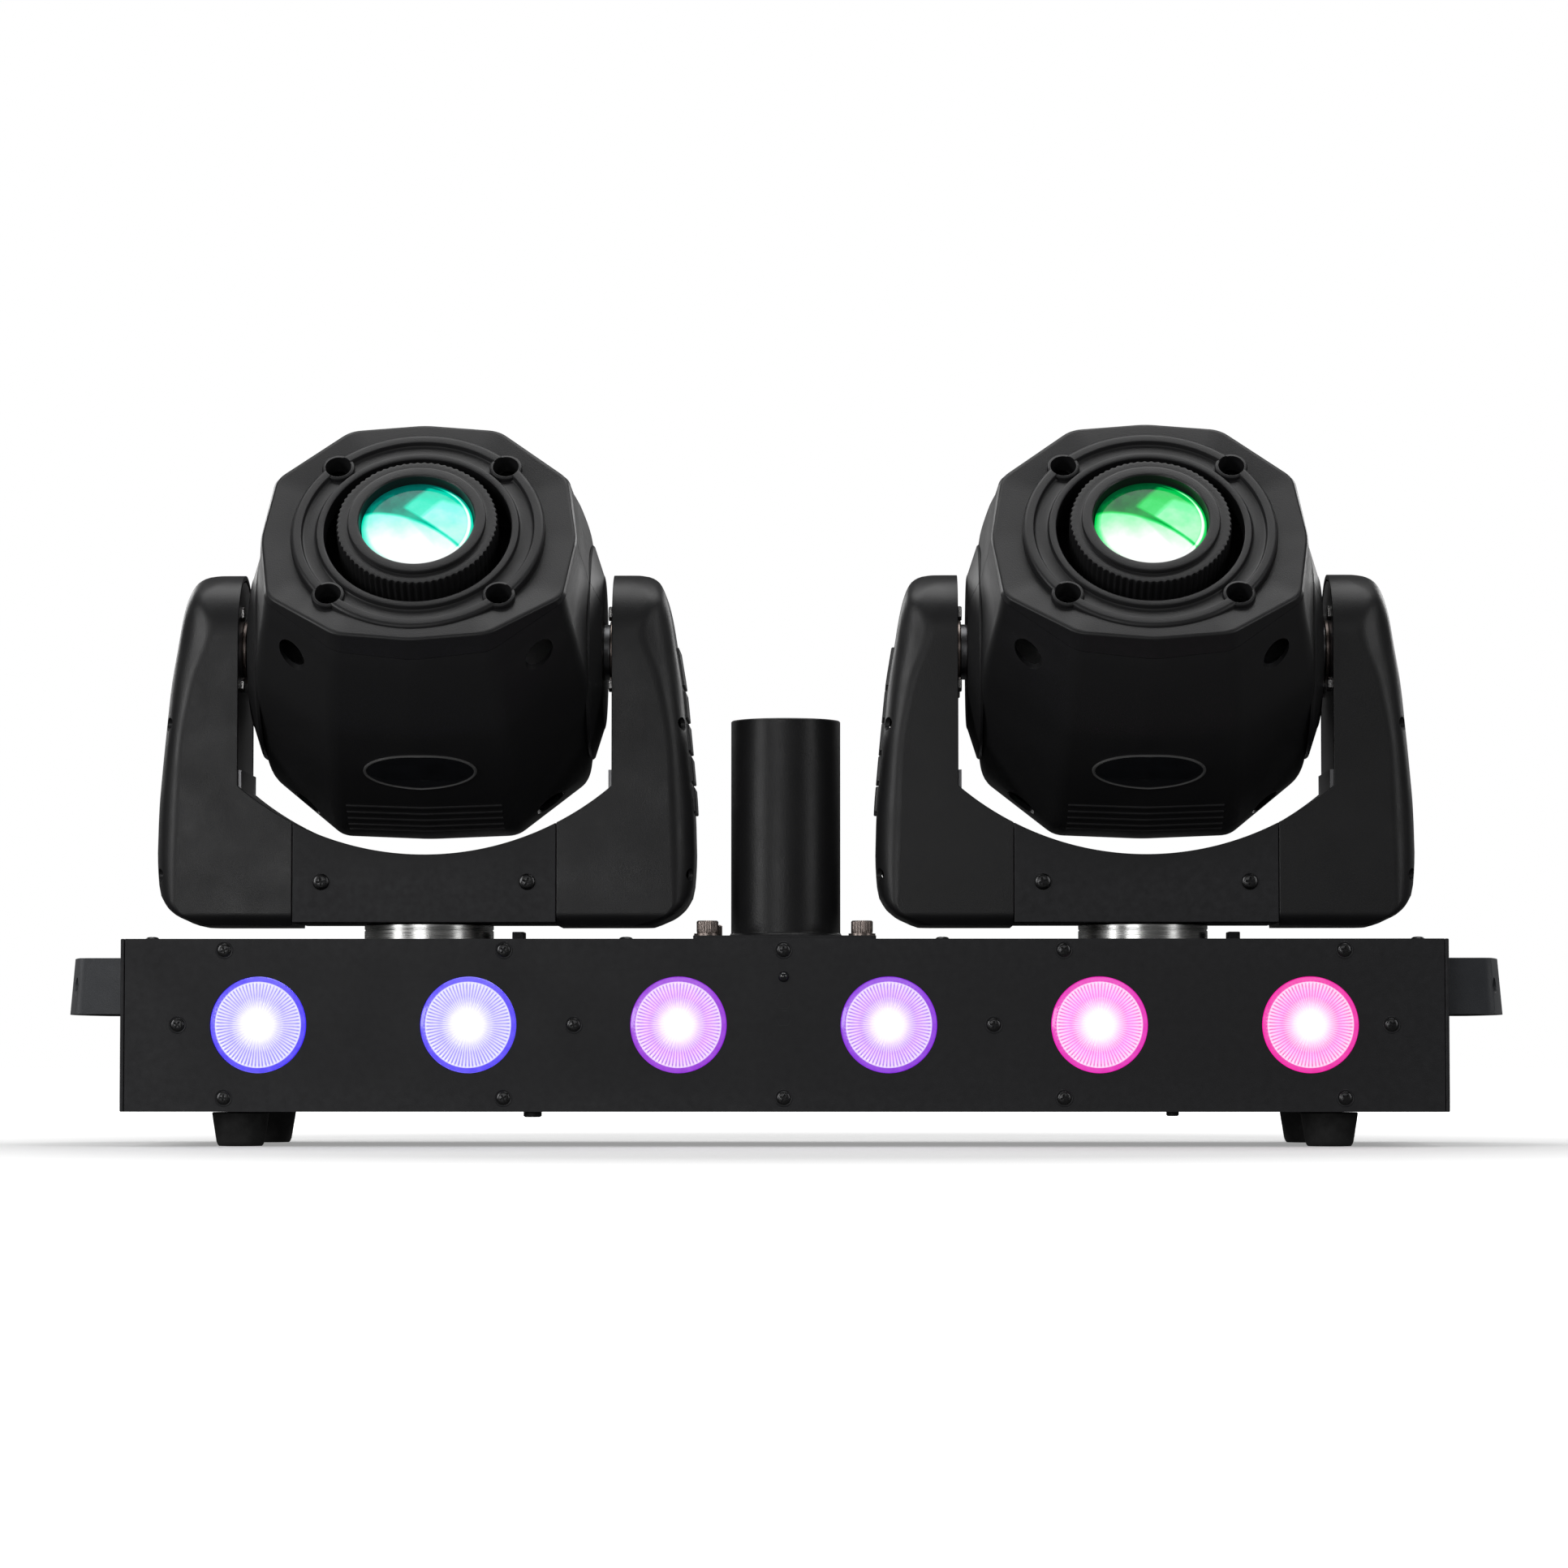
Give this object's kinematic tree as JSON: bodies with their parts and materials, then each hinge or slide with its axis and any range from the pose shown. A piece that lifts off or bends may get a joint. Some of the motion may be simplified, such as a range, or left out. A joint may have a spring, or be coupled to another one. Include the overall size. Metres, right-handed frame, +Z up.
{
  "type": "twin moving head light bar",
  "caption": "Stage light bar with a row of LED lenses in front, a moving head on a yoke near each end, a central stand tube and end handles.",
  "frame": {"origin": "centre of the object's box in plan, on the plane that the feet stand on", "axes": "+X along the bar, to the right for someone facing the LED lenses; -Y towards that person; +Z up"},
  "size_m": [0.6646, 0.1962, 0.3328],
  "materials": {
    "powder_black": "black powder coat with a fine texture",
    "plastic_black": "black moulded plastic with a fine spark-eroded grain",
    "plastic_grey": "dark grey moulded plastic",
    "rubber": "matte black rubber",
    "aluminium": "turned bare aluminium",
    "steel": "zinc-plated steel",
    "circuit": "green solder-masked circuit board",
    "glass": "coated objective glass, lit from behind",
    "led_blue": "ribbed optic lit blue-violet",
    "led_violet": "ribbed optic lit violet",
    "led_magenta": "ribbed optic lit magenta"
  },
  "bodies": {
    "base": {"chassis_tray": "powder_black", "top_cover": "powder_black", "front_panel": "powder_black", "stand_socket": "powder_black", "led_lens_1": "led_blue", "led_lens_2": "led_blue", "led_lens_3": "led_violet", "led_lens_4": "led_violet", "led_lens_5": "led_magenta", "led_lens_6": "led_magenta", "led_board": "circuit", "power_supply": "steel", "control_panel": "plastic_black", "power_inlet": "plastic_black", "foot_front_left": "rubber", "foot_front_right": "rubber", "foot_rear_left": "rubber", "foot_rear_right": "rubber", "handle_left": "plastic_grey", "handle_right": "plastic_grey", "left_pan_bearing": "aluminium", "right_pan_bearing": "aluminium"},
    "menu_button_1": {"menu_button_1": "plastic_grey"},
    "menu_button_2": {"menu_button_2": "plastic_grey"},
    "menu_button_3": {"menu_button_3": "plastic_grey"},
    "menu_button_4": {"menu_button_4": "plastic_grey"},
    "left_yoke": {"left_yoke_frame": "steel", "left_yoke_base_cover": "powder_black", "left_arm_cover_outer": "plastic_black", "left_arm_cover_inner": "plastic_black", "left_pan_motor": "steel", "left_tilt_motor": "steel"},
    "left_pan_pulley": {"left_pan_motor_pulley": "aluminium"},
    "left_tilt_pulley": {"left_tilt_motor_pulley": "aluminium"},
    "left_head": {"left_head_frame": "steel", "left_lower_shell": "plastic_black", "left_upper_shell": "plastic_black", "left_front_bezel": "plastic_black", "left_light_engine": "aluminium"},
    "left_focus_ring": {"left_focus_ring": "plastic_black"},
    "left_objective": {"left_objective_lens": "glass"},
    "left_colour_wheel": {"left_colour_wheel": "aluminium"},
    "left_gobo_wheel": {"left_gobo_wheel": "aluminium"},
    "right_yoke": {"right_yoke_frame": "steel", "right_yoke_base_cover": "powder_black", "right_arm_cover_outer": "plastic_black", "right_arm_cover_inner": "plastic_black", "right_pan_motor": "steel", "right_tilt_motor": "steel"},
    "right_pan_pulley": {"right_pan_motor_pulley": "aluminium"},
    "right_tilt_pulley": {"right_tilt_motor_pulley": "aluminium"},
    "right_head": {"right_head_frame": "steel", "right_lower_shell": "plastic_black", "right_upper_shell": "plastic_black", "right_front_bezel": "plastic_black", "right_light_engine": "aluminium"},
    "right_focus_ring": {"right_focus_ring": "plastic_black"},
    "right_objective": {"right_objective_lens": "glass"},
    "right_colour_wheel": {"right_colour_wheel": "aluminium"},
    "right_gobo_wheel": {"right_gobo_wheel": "aluminium"}
  },
  "joints": [
    {"name": "menu_button_1_press", "type": "slide", "parent": "base", "child": "menu_button_1", "axis": [0, -1, 0], "range_m": [0, 0.0008], "stiffness_N_per_m": 400, "springref_m": -0.0005},
    {"name": "menu_button_2_press", "type": "slide", "parent": "base", "child": "menu_button_2", "axis": [0, -1, 0], "range_m": [0, 0.0008], "stiffness_N_per_m": 400, "springref_m": -0.0005},
    {"name": "menu_button_3_press", "type": "slide", "parent": "base", "child": "menu_button_3", "axis": [0, -1, 0], "range_m": [0, 0.0008], "stiffness_N_per_m": 400, "springref_m": -0.0005},
    {"name": "menu_button_4_press", "type": "slide", "parent": "base", "child": "menu_button_4", "axis": [0, -1, 0], "range_m": [0, 0.0008], "stiffness_N_per_m": 400, "springref_m": -0.0005},
    {"name": "left_pan", "type": "hinge", "parent": "base", "child": "left_yoke", "pos_m": [-0.1665, 0.01045, 0.1], "axis": [0, 0, 1], "range_deg": [-270, 270]},
    {"name": "left_pan_drive", "type": "hinge", "parent": "left_yoke", "child": "left_pan_pulley", "pos_m": [-0.2045, 0.01045, 0.11], "axis": [0, 0, 1], "range_deg": [-582, 582]},
    {"name": "left_tilt", "type": "hinge", "parent": "left_yoke", "child": "left_head", "pos_m": [-0.1665, 0.01045, 0.2297], "axis": [1, 0, 0], "range_deg": [-160, 50]},
    {"name": "left_tilt_drive", "type": "hinge", "parent": "left_yoke", "child": "left_tilt_pulley", "pos_m": [-0.2705, 0.01045, 0.1255], "axis": [1, 0, 0], "range_deg": [-415, 130]},
    {"name": "left_focus", "type": "hinge", "parent": "left_head", "child": "left_focus_ring", "pos_m": [-0.1665, -0.05918, 0.27845], "axis": [0, -0.8192, 0.5736], "range_deg": [-60, 60]},
    {"name": "left_focus_slide", "type": "slide", "parent": "left_head", "child": "left_objective", "axis": [0, -0.8192, 0.5736], "range_m": [-0.0025, 0.0025]},
    {"name": "left_colour_spin", "type": "hinge", "parent": "left_head", "child": "left_colour_wheel", "pos_m": [-0.1495, 0.01389, 0.24804], "axis": [0, -0.8192, 0.5736], "continuous": true},
    {"name": "left_gobo_spin", "type": "hinge", "parent": "left_head", "child": "left_gobo_wheel", "pos_m": [-0.1835, 0.00734, 0.25263], "axis": [0, -0.8192, 0.5736], "continuous": true},
    {"name": "right_pan", "type": "hinge", "parent": "base", "child": "right_yoke", "pos_m": [0.1665, 0.01045, 0.1], "axis": [0, 0, 1], "range_deg": [-270, 270]},
    {"name": "right_pan_drive", "type": "hinge", "parent": "right_yoke", "child": "right_pan_pulley", "pos_m": [0.2045, 0.01045, 0.11], "axis": [0, 0, 1], "range_deg": [-582, 582]},
    {"name": "right_tilt", "type": "hinge", "parent": "right_yoke", "child": "right_head", "pos_m": [0.1665, 0.01045, 0.2297], "axis": [1, 0, 0], "range_deg": [-160, 50]},
    {"name": "right_tilt_drive", "type": "hinge", "parent": "right_yoke", "child": "right_tilt_pulley", "pos_m": [0.2705, 0.01045, 0.1255], "axis": [1, 0, 0], "range_deg": [-415, 130]},
    {"name": "right_focus", "type": "hinge", "parent": "right_head", "child": "right_focus_ring", "pos_m": [0.1665, -0.05918, 0.27845], "axis": [0, -0.8192, 0.5736], "range_deg": [-60, 60]},
    {"name": "right_focus_slide", "type": "slide", "parent": "right_head", "child": "right_objective", "axis": [0, -0.8192, 0.5736], "range_m": [-0.0025, 0.0025]},
    {"name": "right_colour_spin", "type": "hinge", "parent": "right_head", "child": "right_colour_wheel", "pos_m": [0.1495, 0.01389, 0.24804], "axis": [0, -0.8192, 0.5736], "continuous": true},
    {"name": "right_gobo_spin", "type": "hinge", "parent": "right_head", "child": "right_gobo_wheel", "pos_m": [0.1835, 0.00734, 0.25263], "axis": [0, -0.8192, 0.5736], "continuous": true}
  ],
  "couplings": [
    {"joint": "left_pan_drive", "follows": "left_pan", "ratio": -2.1538},
    {"joint": "left_tilt_drive", "follows": "left_tilt", "ratio": 2.588},
    {"joint": "left_focus_slide", "follows": "left_focus", "m_per_rad": 0.0023},
    {"joint": "right_pan_drive", "follows": "right_pan", "ratio": -2.1538},
    {"joint": "right_tilt_drive", "follows": "right_tilt", "ratio": 2.588},
    {"joint": "right_focus_slide", "follows": "right_focus", "m_per_rad": 0.0023}
  ]
}
